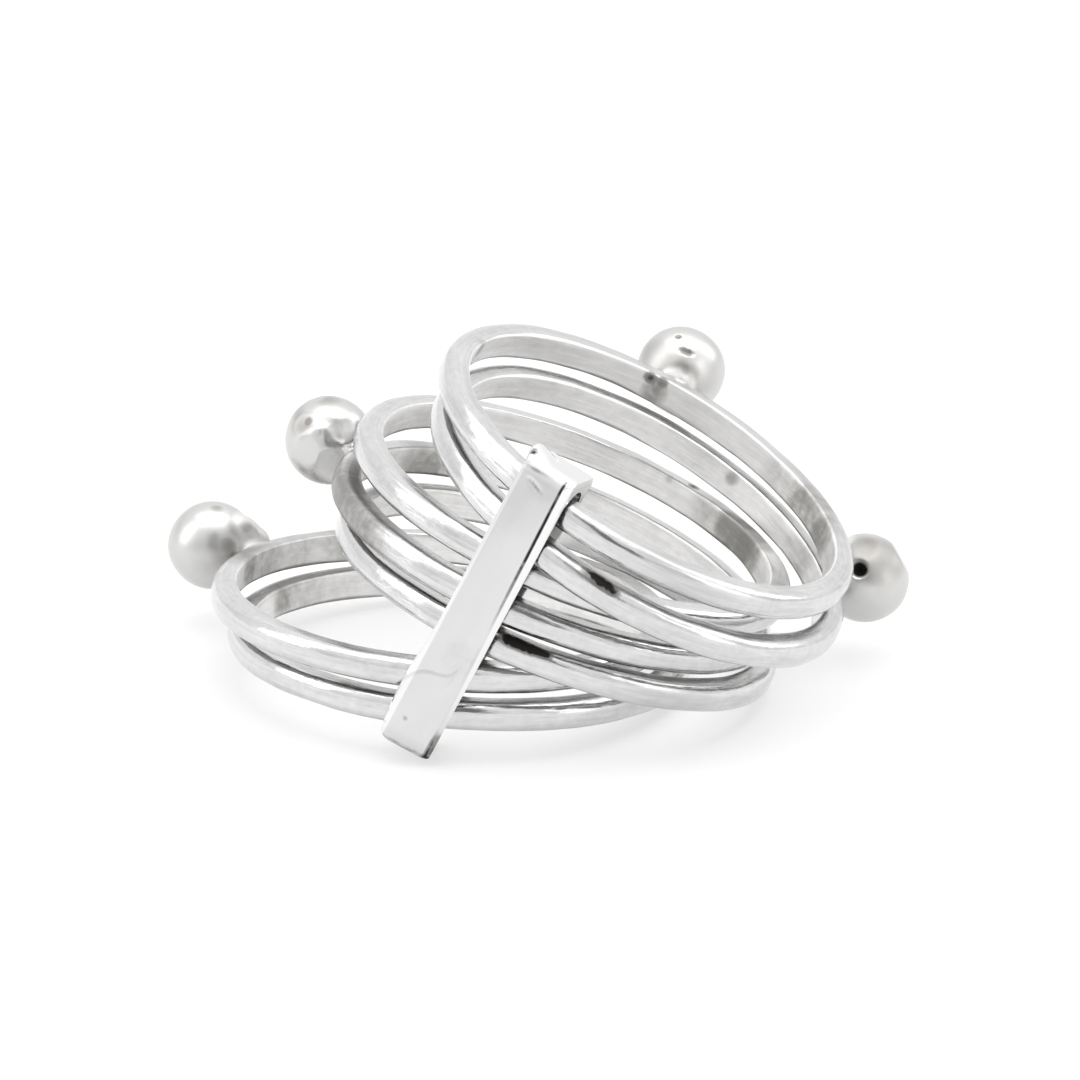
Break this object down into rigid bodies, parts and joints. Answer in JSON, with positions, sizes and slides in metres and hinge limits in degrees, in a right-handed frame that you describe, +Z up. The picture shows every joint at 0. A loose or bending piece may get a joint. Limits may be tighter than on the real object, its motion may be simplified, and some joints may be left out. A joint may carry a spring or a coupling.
{
  "type": "multi-row ring",
  "caption": "Stack of loose half-round silver bands threaded through one flat twisted strip sleeve, some with a soldered ball, lying as it rests.",
  "frame": {"origin": "middle of the footprint, on the surface it lies on", "axes": "+Z up, +X along the widest spread of the lying ring to the right, -Y towards the flat face of the sleeve"},
  "size_m": [0.0324, 0.0248, 0.015],
  "materials": {
    "band_silver": "polished silver, hand finished",
    "sleeve_silver": "polished silver, softly hammered flat"
  },
  "bodies": {
    "sleeve": {"sleeve": "sleeve_silver"},
    "band_1": {"band_1": "band_silver"},
    "band_2": {"band_2": "band_silver"},
    "band_3": {"band_3": "band_silver"},
    "band_4": {"band_4": "band_silver"},
    "band_5": {"band_5": "band_silver"},
    "band_6": {"band_6": "band_silver"},
    "band_7": {"band_7": "band_silver"}
  },
  "joints": [
    {"name": "band_1_turn", "type": "hinge", "parent": "sleeve", "child": "band_1", "pos_m": [0.00458, -0.00162, 0.01], "axis": [0.4585, -0.0692, 0.886], "range_deg": [-20, 138]},
    {"name": "band_2_turn", "type": "hinge", "parent": "sleeve", "child": "band_2", "pos_m": [0.00424, -0.00231, 0.00819], "axis": [0.4672, -0.0868, 0.8799], "range_deg": [-128, 24]},
    {"name": "band_3_turn", "type": "hinge", "parent": "sleeve", "child": "band_3", "pos_m": [0.00141, -0.00065, 0.00751], "axis": [0.3454, 0.0102, 0.9384], "continuous": true},
    {"name": "band_4_turn", "type": "hinge", "parent": "sleeve", "child": "band_4", "pos_m": [0.00053, -0.00106, 0.00574], "axis": [0.3355, 0.0301, 0.9416], "range_deg": [-80, 80]},
    {"name": "band_5_turn", "type": "hinge", "parent": "sleeve", "child": "band_5", "pos_m": [0.00077, -0.00143, 0.00404], "axis": [0.3214, 0.0356, 0.9463], "continuous": true},
    {"name": "band_6_turn", "type": "hinge", "parent": "sleeve", "child": "band_6", "pos_m": [-0.00417, -0.00072, 0.00304], "axis": [0.0721, 0.0629, 0.9954], "range_deg": [-55, 98]},
    {"name": "band_7_turn", "type": "hinge", "parent": "sleeve", "child": "band_7", "pos_m": [-0.00338, -0.00095, 0.00142], "axis": [0.0587, 0.0568, 0.9967], "continuous": true}
  ]
}
